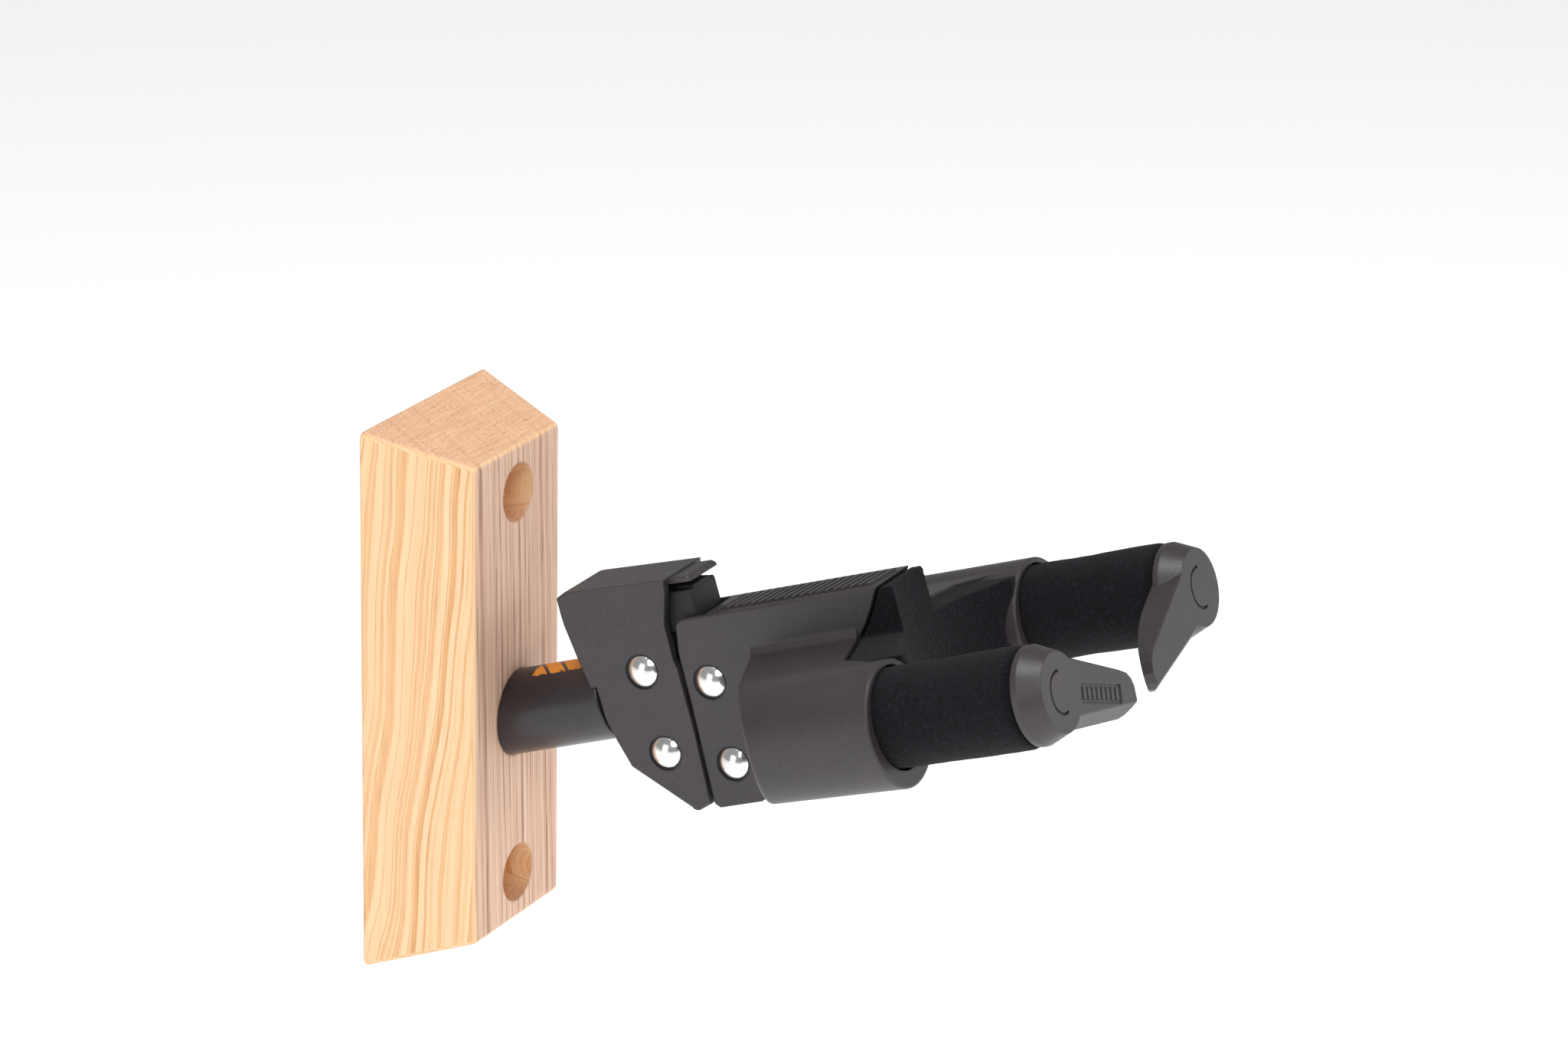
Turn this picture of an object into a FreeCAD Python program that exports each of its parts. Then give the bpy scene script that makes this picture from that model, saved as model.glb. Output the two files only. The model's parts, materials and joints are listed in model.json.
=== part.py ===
import FreeCAD, Part
import math
import os
from FreeCAD import Vector as V

os.makedirs("parts", exist_ok=True)

# Wall hanger with a self-closing yoke.  Millimetres, +Z up, +X to the right,
# +Y into the wall.  Origin: centre of the wooden base's back face.
# The head is drawn in its own frame (a forward along the tube, b right, c up)
# and tilted up by HEAD_PITCH about the point where the tube leaves the wood.

# ---- wooden base
BASE_H_BACK = 124.0
BASE_W_BACK = 55.0
BASE_H_FRONT = 110.2
BASE_W_FRONT = 37.5
BASE_DEPTH = 23.8
BASE_ROUND = 1.8
SCREW_SPACING = 88.8
SCREW_HOLE_R = 2.7
SCREW_RECESS_R = 6.6
SCREW_RECESS_DEPTH = 13.0

# ---- head frame
HEAD_PITCH = 18.49
TUBE_EXIT_Z = -6.33

# ---- support tube and swivel
TUBE_R = 9.25
TUBE_BORE_R = 7.75
TUBE_REAR_A = -13.0
TUBE_FRONT_A = 26.5
SPIGOT_R = 5.0
SPIGOT_CLEAR = 0.05

# ---- rear bracket and yoke housing
BRACKET_HALF_W = 8.6
BRACKET_WALL = 1.9
HOUSING_HALF_W = 8.1
LINK_INNER_B = 4.0
LINK_OUTER_B = 6.3
CAVITY_HALF_W = 6.65

# ---- parallelogram (a, c) of the pivots in the loaded pose
PIVOT_UPPER_REAR = (39.2, 6.15)
PIVOT_LOWER_REAR = (39.2, -12.4)
LINK_LEN = 16.12
LINK_DROP_DEG = 17.14
RIVET_R = 2.0
RIVET_HEAD_R = 3.55
RIVET_HEAD_H = 1.5
RIVET_RECESS_R = 3.95
RIVET_RECESS = 0.6
EYE_R = 3.4
PIN_CLEAR = 0.06

# ---- arms
ARM_HALF_SPACING = 36.45
ARM_C = -5.64
FOAM_R = 10.68
FOAM_REAR_A = 101.6
FOAM_FRONT_A = 144.4
ARM_TUBE_R = 6.0
ARM_TUBE_BORE_R = 4.2
ARM_TUBE_REAR_A = 98.6
ARM_TUBE_FRONT_A = 144.6
SHELL_R = 13.5
SHELL_C = -6.95
SHELL_REAR_DROP = 1.35
REAR_SLOPE = 0.419
SHELL_MOUTH_A = 113.3
SHELL_BORE_R = 11.0
DECK_TOP = 5.9
FIN_TOP = 15.9
FIN_RIB_TOP = 16.4

# ---- gates
GATE_REAR_A = 144.9
GATE_FRONT_A = 151.3
GATE_R = 10.45
GATE_FACE_R = 8.5
GATE_DIP_DEG = 18.5
SHAFT_R = 2.5
CRANK_R = 4.14
CRANK_DEG = 35.0
CRANK_PIN_R = 1.1

A0 = PIVOT_UPPER_REAR
B0 = PIVOT_LOWER_REAR
DROP = math.radians(LINK_DROP_DEG)
LV = (LINK_LEN * math.cos(DROP), -LINK_LEN * math.sin(DROP))
A1 = (A0[0] + LV[0], A0[1] + LV[1])
B1 = (B0[0] + LV[0], B0[1] + LV[1])

AL = math.radians(HEAD_PITCH)
CA, SA = math.cos(AL), math.sin(AL)
HEAD = FreeCAD.Matrix(0, 1, 0, 0,
                      -CA, 0, SA, -BASE_DEPTH,
                      SA, 0, CA, TUBE_EXIT_Z,
                      0, 0, 0, 1)
HEAD_PL = FreeCAD.Placement(HEAD)

NODES = []


def save(name, shape, head=True):
    s = shape.copy()
    if head:
        s.Placement = HEAD_PL.multiply(s.Placement)
    solids = s.Solids
    out = solids[0] if len(solids) == 1 else Part.Compound(solids)
    out.exportStep("parts/" + name + ".step")
    vol = sum(x.Volume for x in solids)
    ok = all(x.isValid() for x in solids)
    NODES.append(name)
    print("%-24s solids %d  volume %9.1f  valid %s" % (name, len(solids), vol, ok))


def box(a0, a1, b0, b1, c0, c1):
    return Part.makeBox(a1 - a0, b1 - b0, c1 - c0, V(a0, b0, c0))


def cyl_a(r, a0, a1, b=0.0, c=0.0):
    return Part.makeCylinder(r, a1 - a0, V(a0, b, c), V(1, 0, 0))


def cyl_b(r, b0, b1, a, c):
    return Part.makeCylinder(r, b1 - b0, V(a, b0, c), V(0, 1, 0))


def poly_b(pts, b0, b1):
    """Polygon in the a-c plane pushed along b."""
    w = Part.makePolygon([V(p[0], b0, p[1]) for p in pts] + [V(pts[0][0], b0, pts[0][1])])
    return Part.Face(w).extrude(V(0, b1 - b0, 0))


def poly_c(pts, c0, c1):
    """Polygon in the a-b plane pushed along c."""
    w = Part.makePolygon([V(p[0], p[1], c0) for p in pts] + [V(pts[0][0], pts[0][1], c0)])
    return Part.Face(w).extrude(V(0, 0, c1 - c0))


def poly_a(pts, a0, a1):
    """Polygon in the b-c plane pushed along a."""
    w = Part.makePolygon([V(a0, p[0], p[1]) for p in pts] + [V(a0, pts[0][0], pts[0][1])])
    return Part.Face(w).extrude(V(a1 - a0, 0, 0))


def fillet(shape, r, pick):
    edges = [e for e in shape.Edges if pick(e)]
    if not edges:
        return shape
    for rr in (r, r * 0.7, r * 0.45):
        try:
            s = shape.makeFillet(rr, edges)
            if s.isValid() and s.Volume > 0:
                return s
        except Exception:
            pass
    good = shape
    for e in edges:
        try:
            s = good.makeFillet(r * 0.6, [e])
            if s.isValid() and s.Volume > 0:
                good = s
        except Exception:
            pass
    return good


def mid(e):
    return e.valueAt((e.FirstParameter + e.LastParameter) / 2.0)


# =====================================================================
# 1  wooden base: a tall block whose four sides slope in to the front
# =====================================================================
def rect_y(w, h, y):
    p = [V(-w / 2, y, -h / 2), V(w / 2, y, -h / 2), V(w / 2, y, h / 2), V(-w / 2, y, h / 2)]
    return Part.makePolygon(p + [p[0]])


wood = Part.makeLoft([rect_y(BASE_W_BACK, BASE_H_BACK, 0.0),
                      rect_y(BASE_W_FRONT, BASE_H_FRONT, -BASE_DEPTH)], True, True)
wood = fillet(wood, BASE_ROUND, lambda e: mid(e).y < -0.1)
wood = fillet(wood, 0.6, lambda e: abs(mid(e).y) < 0.01)
for sz in (-1, 1):
    zc = sz * SCREW_SPACING / 2
    wood = wood.cut(Part.makeCylinder(SCREW_HOLE_R, BASE_DEPTH + 2, V(0, 1, zc), V(0, -1, 0)))
    wood = wood.cut(Part.makeCylinder(SCREW_RECESS_R, SCREW_RECESS_DEPTH + 1,
                                      V(0, -BASE_DEPTH + SCREW_RECESS_DEPTH, zc), V(0, -1, 0)))


def to_head(s):
    t = s.copy()
    t.Placement = HEAD_PL.multiply(t.Placement)
    return t


wood = wood.cut(to_head(cyl_a(TUBE_R + 0.01, TUBE_REAR_A, 20)))
wood = wood.cut(to_head(cyl_a(3.3, -40, 0)))
wood = wood.cut(to_head(cyl_a(7.2, -40, -18.2)))
save("wood_base", wood, head=False)

# 2  support tube pressed into the wood
tube = cyl_a(TUBE_R, TUBE_REAR_A, TUBE_FRONT_A).cut(cyl_a(TUBE_BORE_R, TUBE_REAR_A - 1, TUBE_FRONT_A + 1))
tube = fillet(tube, 0.5, lambda e: abs(mid(e).x - TUBE_FRONT_A) < 0.01 and e.Curve.TypeId == "Part::GeomCircle"
              and e.Curve.Radius > 8.5)
save("support_tube", tube)

# 3  threaded plug in the tube's rear end
plug = cyl_a(TUBE_BORE_R - 0.01, TUBE_REAR_A, -3.0).cut(cyl_a(3.02, TUBE_REAR_A - 1, -2))
save("tube_plug", plug)

# 4  anchor bolt and washer from the back
bolt = cyl_a(3.0, -19.2, -4.5).fuse(cyl_a(5.0, -23.0, -19.2))
hexw = Part.makePolygon([V(-23.5, 2.6 * math.cos(math.radians(60 * i)), 2.6 * math.sin(math.radians(60 * i)))
                         for i in range(7)])
bolt = bolt.cut(Part.Face(hexw).extrude(V(2.9, 0, 0)))
save("anchor_bolt", bolt)
save("anchor_washer", cyl_a(6.4, -19.2, -18.2).cut(cyl_a(3.2, -20, -17)))

# 5  swivel bush in the tube's front end
bush = cyl_a(TUBE_BORE_R - 0.01, 14.0, TUBE_FRONT_A).cut(cyl_a(SPIGOT_R + SPIGOT_CLEAR, 13, TUBE_FRONT_A + 1))
save("swivel_bush", bush)

# 6  spigot, thrust washer and circlip turn with the head
spig = cyl_a(SPIGOT_R, 8.0, 36.0).cut(cyl_a(SPIGOT_R + 1, 10.9, 12.0).cut(cyl_a(4.0, 10, 13)))
spig = fillet(spig, 0.6, lambda e: abs(mid(e).x - 8.0) < 0.01)
save("swivel_spigot", spig)
save("spigot_washer", cyl_a(7.2, 12.1, 13.7).cut(cyl_a(SPIGOT_R + 0.03, 11, 15)))
clip = cyl_a(6.3, 11.05, 11.85).cut(cyl_a(4.03, 10, 13)).cut(box(10, 13, -1.6, 1.6, 0, 8))
clip = clip.fuse(cyl_a(1.5, 11.05, 11.85, 2.9, 5.0)).fuse(cyl_a(1.5, 11.05, 11.85, -2.9, 5.0))
clip = clip.cut(cyl_a(0.7, 10, 13, 2.9, 5.2)).cut(cyl_a(0.7, 10, 13, -2.9, 5.2)).cut(cyl_a(4.03, 10, 13))
save("spigot_circlip", clip)

# =====================================================================
# rear bracket: two shells, split down the middle, round a solid core
# =====================================================================
BR = [(23.5, 25.3), (25.6, 26.2), (50.8, 25.2), (50.2, 22.3), (47.9, 15.6), (47.6, 7.4), (48.0, 5.2), (47.7, -8.5),
      (46.6, -25.2), (43.4, -26.2), (41.9, -25.4), (29.9, -14.3), (28.1, -8.4), (25.6, 1.9), (24.2, 11.0), (23.3, 18.0)]
w = BRACKET_WALL
BR_IN = [(25.6, 24.2), (60.0, 23.4), (60.0, -23.4), (43.8, -23.4), (31.6, -12.9), (30.2, -8.0), (27.6, 2.4),
         (26.2, 11.3), (25.4, 18.0)]
LIP = poly_b([(46.0, 24.95), (54.9, 24.8), (55.8, 24.2), (56.1, 23.1), (55.7, 22.1), (54.9, 21.75), (46.0, 21.75)], -6.3, 6.3)
LIP = fillet(LIP, 0.5, lambda e: abs(abs(mid(e).y) - 6.3) < 0.01 and mid(e).x > 47)


def rivet_recess(s, p, half):
    s = s.cut(cyl_b(RIVET_RECESS_R, half - RIVET_RECESS, half + 3, p[0], p[1]))
    s = s.cut(cyl_b(RIVET_RECESS_R, -half - 3, -half + RIVET_RECESS, p[0], p[1]))
    return s.cut(cyl_b(RIVET_R + 0.01, -half - 3, half + 3, p[0], p[1]))


def dist2(e, sel):
    m = mid(e)
    return sel(m)


outer = poly_b(BR, -BRACKET_HALF_W, BRACKET_HALF_W)
outer = fillet(outer, 1.0, lambda e: abs(abs(mid(e).y) - BRACKET_HALF_W) < 0.01 and mid(e).x < 47.2
               and not (abs(mid(e).x - 46.6) < 1 and mid(e).z < 0 and False))
outer = outer.fuse(LIP).removeSplitter()
inner = poly_b(BR_IN, -CAVITY_HALF_W, CAVITY_HALF_W)
# the hood's underside keeps a roof above the lip
shell = outer.cut(inner)
shell = shell.cut(cyl_a(TUBE_R + 0.4, 10, 27.0)).cut(cyl_a(6.2, 10, 33))
for p in (A0, B0):
    shell = rivet_recess(shell, p, BRACKET_HALF_W)
left = shell.common(box(0, 80, -20, -0.01, -60, 60))
right = shell.common(box(0, 80, 0.01, 20, -60, 60))
save("rear_bracket_left", left)
save("rear_bracket_right", right)

# bracket core: holds the spigot and both rear rivets, its tongue reaches under the lip
CORE_REAR = [(27.9, 2.6), (26.6, 11.3), (25.9, 18.0), (26.0, 23.9), (34.9, 23.6), (34.9, -15.6), (32.0, -12.9), (30.6, -8.0)]
core = poly_b(CORE_REAR, -CAVITY_HALF_W + 0.05, CAVITY_HALF_W - 0.05)
core = core.fuse(poly_b([(34.0, 23.5), (45.6, 23.1), (54.6, 22.1), (54.6, 13.0), (53.6, 12.2), (45.6, 12.0), (45.6, -22.0),
                         (43.6, -23.0), (41.0, -20.6), (34.0, -14.3)], -3.65, 3.65))
# the tongue widens above the links
core = core.fuse(poly_b([(44.0, 21.6), (54.4, 21.6), (54.7, 21.0), (54.6, 13.6), (53.9, 12.9), (44.0, 12.9)], -5.7, 5.7))
core = core.cut(cyl_a(TUBE_R + 0.4, 10, 27.0)).fuse(cyl_a(6.1, 27.0, 34.0)).removeSplitter()
core = core.cut(cyl_a(SPIGOT_R + 0.01, 5, 36.0))
for p in (A0, B0):
    core = core.cut(cyl_b(RIVET_R + 0.01, -12, 12, p[0], p[1]))
# pocket for the drive bar's foot
core = core.cut(box(42.0, 50.0, -2.5, 2.5, -6.0, -1.95))
save("bracket_core", core)


def rivet(p, half):
    s = cyl_b(RIVET_R, -half + RIVET_RECESS - 0.05, half - RIVET_RECESS + 0.05, p[0], p[1])
    for sg in (-1, 1):
        b0 = sg * (half - RIVET_RECESS)
        # domed head: spherical cap of height RIVET_HEAD_H over a radius of RIVET_HEAD_R with a short rim
        rim = 0.35
        hh = RIVET_HEAD_H
        rs = (RIVET_HEAD_R ** 2 + hh ** 2) / (2 * hh)
        sph = Part.makeSphere(rs, V(p[0], b0 + sg * (rim + hh - rs), p[1]))
        cl = Part.makeCylinder(RIVET_HEAD_R, hh + rim, V(p[0], b0, p[1]), V(0, sg, 0))
        s = s.fuse(sph.common(cl))
    return s.removeSplitter()


save("upper_rear_rivet", rivet(A0, BRACKET_HALF_W))
save("lower_rear_rivet", rivet(B0, BRACKET_HALF_W))


# =====================================================================
# links: two cheeks each, joined by a bridge between the pivots
# =====================================================================
def link(p, q, name, front_clear):
    ang = math.degrees(math.atan2(q[1] - p[1], q[0] - p[0]))
    ln = math.hypot(q[0] - p[0], q[1] - p[1])
    cheeks = None
    for b0, b1 in ((-LINK_OUTER_B, -LINK_INNER_B), (LINK_INNER_B, LINK_OUTER_B)):
        s = cyl_b(EYE_R, b0, b1, 0, 0).fuse(cyl_b(EYE_R, b0, b1, ln, 0)).fuse(box(0, ln, b0, b1, -2.6, 2.6))
        cheeks = s if cheeks is None else cheeks.fuse(s)
    bridge = box(7.6, 10.8, -LINK_INNER_B - 0.5, LINK_INNER_B + 0.5, -2.2, 2.2)
    s = cheeks.fuse(bridge).removeSplitter()
    s = s.cut(cyl_b(RIVET_R + PIN_CLEAR, -12, 12, 0, 0)).cut(cyl_b(RIVET_R + front_clear, -12, 12, ln, 0))
    s.Placement = FreeCAD.Placement(V(p[0], 0, p[1]), FreeCAD.Rotation(V(0, 1, 0), -ang))
    save(name, s)


link(A0, A1, "upper_link", PIN_CLEAR)
link(B0, B1, "lower_link", 0.15)

# drive bar: stem from the core, cross bar with a slot at each end for the crank pins
PIN_B = ARM_HALF_SPACING - CRANK_R * math.cos(math.radians(CRANK_DEG))
PIN_C = ARM_C + CRANK_R * math.sin(math.radians(CRANK_DEG))
SLOT_R = CRANK_PIN_R + 0.15
bar = box(42.1, 91.0, -2.4, 2.4, -5.9, -2.0)
bar = bar.fuse(box(89.6, 92.4, -PIN_B - 3.2, PIN_B + 3.2, PIN_C - 2.6, PIN_C + 2.6)).removeSplitter()
bar = fillet(bar, 1.4, lambda e: abs(abs(mid(e).y) - (PIN_B + 3.2)) < 0.01 and abs(mid(e).x - 91.0) < 0.01)
for sg in (-1, 1):
    x0, x1 = PIN_B - 1.0, PIN_B + 0.25
    sl = cyl_a(SLOT_R, 88, 94, sg * x0, PIN_C).fuse(cyl_a(SLOT_R, 88, 94, sg * x1, PIN_C))
    sl = sl.fuse(box(88, 94, min(sg * x0, sg * x1), max(sg * x0, sg * x1), PIN_C - SLOT_R, PIN_C + SLOT_R))
    bar = bar.cut(sl)
save("drive_bar", bar)

# lift spring standing on the stem under the housing's roof
SP_A, SP_R, SP_W = 69.0, 2.9, 0.45
SP_C0, SP_C1 = -1.5, 11.0
hx = Part.makeHelix((SP_C1 - SP_C0) / 6.0, SP_C1 - SP_C0, SP_R)
prof = Part.Wire(Part.Circle(V(SP_R, 0, 0), V(0, 1, 0.12), SP_W).toShape())
spring = Part.Wire(hx).makePipeShell([prof], True, True)
spring = Part.makeSolid(spring) if spring.ShapeType != "Solid" else spring
spring.translate(V(SP_A, 0, SP_C0))
save("lift_spring", spring)

# =====================================================================
# yoke housing: tall fin, deck and the two arm shells, in two halves
# =====================================================================
FIN = [(50.4, 14.9), (51.9, FIN_TOP), (100.3, FIN_TOP), (99.0, 13.9), (97.6, 11.5), (95.5, 8.5), (93.2, DECK_TOP), (93.2, -19.0), (66.0, -19.0), (60.8, -24.9),
       (59.2, -26.3), (48.6, -26.3), (47.5, -25.3), (48.7, -3.9), (49.2, 9.1)]
fin = poly_b(FIN, -HOUSING_HALF_W, HOUSING_HALF_W)


def arc_pts(cx, cy, r, a0, a1, n):
    return [(cx + r * math.cos(math.radians(a0 + (a1 - a0) * i / n)),
             cy + r * math.sin(math.radians(a0 + (a1 - a0) * i / n))) for i in range(n + 1)]


def rear_cut(sg, off=0.0):
    # everything behind the slanting rear face of an arm's shell
    return poly_c([(66.5 - off, sg * 8.0), (66.5 - off + REAR_SLOPE * 52.0, sg * 60.0), (30.0, sg * 60.0), (30.0, sg * 8.0)],
                  -60, 60)


def circ(a, b, c, r):
    return Part.Wire(Part.Circle(V(a, b, c), V(1, 0, 0), r).toShape())


def deck_half(sg):
    plan = [(66.5, 0), (66.5, 8.0), (66.5 + REAR_SLOPE * (ARM_HALF_SPACING - 8.0), ARM_HALF_SPACING), (112.3, ARM_HALF_SPACING),
            (110.7, 33.9), (105.2, 30.6), (99.1, 27.3), (95.9, 17.6), (92.85, 8.1), (92.85, 0)]
    s = poly_c([(p[0], sg * p[1]) for p in plan], -17.5, DECK_TOP)
    h = SHELL_REAR_DROP / 2
    shl = Part.makeLoft([circ(68.0, sg * ARM_HALF_SPACING, SHELL_C + h, SHELL_R - h),
                         circ(SHELL_MOUTH_A, sg * ARM_HALF_SPACING, SHELL_C, SHELL_R)], True, True)
    shl = shl.cut(rear_cut(sg))

    def on_rear(e):
        m = mid(e)
        return abs(m.x - (66.5 + REAR_SLOPE * (abs(m.y) - 8.0))) < 0.02

    shl = fillet(shl, 1.6, on_rear)
    shl = fillet(shl, 0.5, lambda e: abs(mid(e).x - SHELL_MOUTH_A) < 0.01 and e.Curve.TypeId == "Part::GeomCircle")
    return s, shl


body = fin
for sg in (-1, 1):
    d, c_ = deck_half(sg)
    # concave sweep from the fin's side down to the deck
    q = 2.2
    cove = box(66.5, 96.0, 0, HOUSING_HALF_W + q, DECK_TOP - 1, DECK_TOP + q)
    cove = cove.cut(cyl_a(q, 60, 100, HOUSING_HALF_W + q, DECK_TOP + q))
    cove = cove.common(poly_c([(66.5, 0), (66.5, 8.0), (69.8, 16.0), (95.3, 16.0), (92.85, 8.1), (92.85, 0)], -20, 30))
    if sg < 0:
        cove = cove.mirror(V(0, 0, 0), V(0, 1, 0))
    body = body.fuse(d).fuse(c_).fuse(cove)
body = body.removeSplitter()

cav = box(40, 60.6, -CAVITY_HALF_W, CAVITY_HALF_W, -23.9, 13.9)
cav = cav.fuse(box(40, 57.0, -CAVITY_HALF_W, CAVITY_HALF_W, 5, 20))
cav = cav.fuse(box(60, 90, -3.6, 3.6, -12.4, -0.9))
cav = cav.fuse(box(64.4, 73.6, -4.4, 4.4, -12.4, 12.0))
cav = cav.fuse(box(87.6, 94.4, -PIN_B - 4.4, PIN_B + 4.4, PIN_C - 8.3, PIN_C + 3.4))
# front slot so that the bar's path stays inside the housing behind the pad
for sg in (-1, 1):
    y = sg * ARM_HALF_SPACING
    cav = cav.fuse(cyl_a(8.0, 87.6, 98.4, y, ARM_C))
    cav = cav.fuse(cyl_a(ARM_TUBE_R + 0.01, 98.0, 103, y, ARM_C))
    cav = cav.fuse(cyl_a(SHELL_BORE_R, 101.3, 130, y, ARM_C))
body = body.cut(cav)
# wall closing the cross slot at the front, behind the pad
body = body.fuse(box(94.4, 96.2, -26.0, 26.0, -16.5, 3.6).cut(
    cyl_a(8.0, 80, 98.4, ARM_HALF_SPACING, ARM_C)).cut(cyl_a(8.0, 80, 98.4, -ARM_HALF_SPACING, ARM_C))).removeSplitter()
for p in (A1, B1):
    body = rivet_recess(body, p, HOUSING_HALF_W)

# screws that clamp the halves together (right side heads)
SCREWS = [(62.5, 11.9), (80.0, 11.6), (91.6, 11.6), (63.5, -15.7)]
# the cheeks fall away a little toward the arms, under the line of the deck
for sg in (-1, 1):
    step = poly_c([(58.8, sg * 8.2), (66.55, sg * 7.5), (66.55, sg * 8.2)], -30, 12)
    body = body.cut(step.common(poly_b([(58.0, 9.0), (66.6, 5.95), (66.6, -30), (58, -30)], -10, 10)))
# soft edges along the fin's top
body = fillet(body, 0.6, lambda e: abs(abs(mid(e).y) - HOUSING_HALF_W) < 0.01 and abs(mid(e).z - FIN_TOP) < 0.01)
# a row of plain slanting ribs along the top
ribs = None
for i in range(19):
    a0 = 59.6 + 2.05 * i
    rb = poly_c([(a0, -5.3), (a0 + 1.05, -5.3), (a0 + 2.15, 5.3), (a0 + 1.1, 5.3)], FIN_TOP - 0.4, FIN_RIB_TOP)
    body = body.fuse(rb)
body = body.removeSplitter()
for (sa, sc) in SCREWS:
    body = body.cut(cyl_b(1.5, -6.0, 12.0, sa, sc)).cut(cyl_b(2.7, HOUSING_HALF_W - 2.0, 30.0, sa, sc))
left = body.common(box(30, 130, -60, -0.01, -60, 60))
right = body.common(box(30, 130, 0.01, 60, -60, 60))
save("yoke_housing_left", left)
save("yoke_housing_right", right)
scr = []
for (sa, sc) in SCREWS:
    s = cyl_b(1.48, -5.9, HOUSING_HALF_W - 1.9, sa, sc).fuse(cyl_b(2.6, HOUSING_HALF_W - 1.95, HOUSING_HALF_W - 0.3, sa, sc))
    s = s.cut(box(sa - 1.6, sa + 1.6, HOUSING_HALF_W - 1.1, HOUSING_HALF_W, sc - 0.3, sc + 0.3))
    s = s.cut(box(sa - 0.3, sa + 0.3, HOUSING_HALF_W - 1.1, HOUSING_HALF_W, sc - 1.6, sc + 1.6))
    scr.append(s)
save("housing_screws", Part.Compound(scr))
save("upper_front_rivet", rivet(A1, HOUSING_HALF_W))
save("lower_front_rivet", rivet(B1, HOUSING_HALF_W))

# saddle pad lining the bottom of the U: it carries on the outline of the fin and deck
pad = poly_b([(100.8, 15.5), (99.5, 13.8), (98.1, 11.4), (96.0, 8.4), (93.65, 5.6), (93.65, 4.0), (96.5, 4.0), (96.5, -15.5),
              (113.2, -15.5), (113.2, 15.5)], -7.6, 7.6)
for sg in (-1, 1):
    lip = [(93.65, 0), (93.3, 8.1), (96.35, 17.6), (99.5, 27.0), (103.0, 28.6), (113.2, 28.6), (113.2, 0)]
    low = [(96.5, 0), (96.5, 18.1), (99.5, 27.0), (103.0, 28.6), (113.2, 28.6), (113.2, 0)]
    pad = pad.fuse(poly_c([(p[0], sg * p[1]) for p in lip], 4.0, 5.35))
    pad = pad.fuse(poly_c([(p[0], sg * p[1]) for p in low], -15.5, 4.1))
pad = pad.removeSplitter()
pad = pad.cut(Part.makeCylinder(38.0, 80, V(141.0, 0, -40), V(0, 0, 1)))
pad = pad.cut(cyl_a(SHELL_R + 0.05, 80, 120, ARM_HALF_SPACING, SHELL_C)).cut(
    cyl_a(SHELL_R + 0.05, 80, 120, -ARM_HALF_SPACING, SHELL_C))
for sg in (-1, 1):
    d, c_ = deck_half(sg)
    pad = pad.cut(d)
pad = sorted(pad.Solids, key=lambda s: -s.Volume)[0]
save("saddle_pad", pad)

# arms
for side, sg in (("left", -1), ("right", 1)):
    y = sg * ARM_HALF_SPACING
    save(side + "_arm_tube", cyl_a(ARM_TUBE_R, ARM_TUBE_REAR_A, ARM_TUBE_FRONT_A, y, ARM_C).cut(
        cyl_a(ARM_TUBE_BORE_R, 90, 150, y, ARM_C)))
    foam = cyl_a(FOAM_R, FOAM_REAR_A, FOAM_FRONT_A, y, ARM_C)
    foam = fillet(foam, 0.8, lambda e: abs(mid(e).x - FOAM_FRONT_A) < 0.01)
    save(side + "_foam_sleeve", foam.cut(cyl_a(ARM_TUBE_R + 0.01, 90, 150, y, ARM_C)))
    bs = [cyl_a(ARM_TUBE_BORE_R - 0.01, a0, a1, y, ARM_C).cut(cyl_a(SHAFT_R + 0.05, 90, 150, y, ARM_C))
          for a0, a1 in ((98.8, 104.0), (139.0, 144.5))]
    save(side + "_arm_bushes", Part.Compound(bs))


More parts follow.
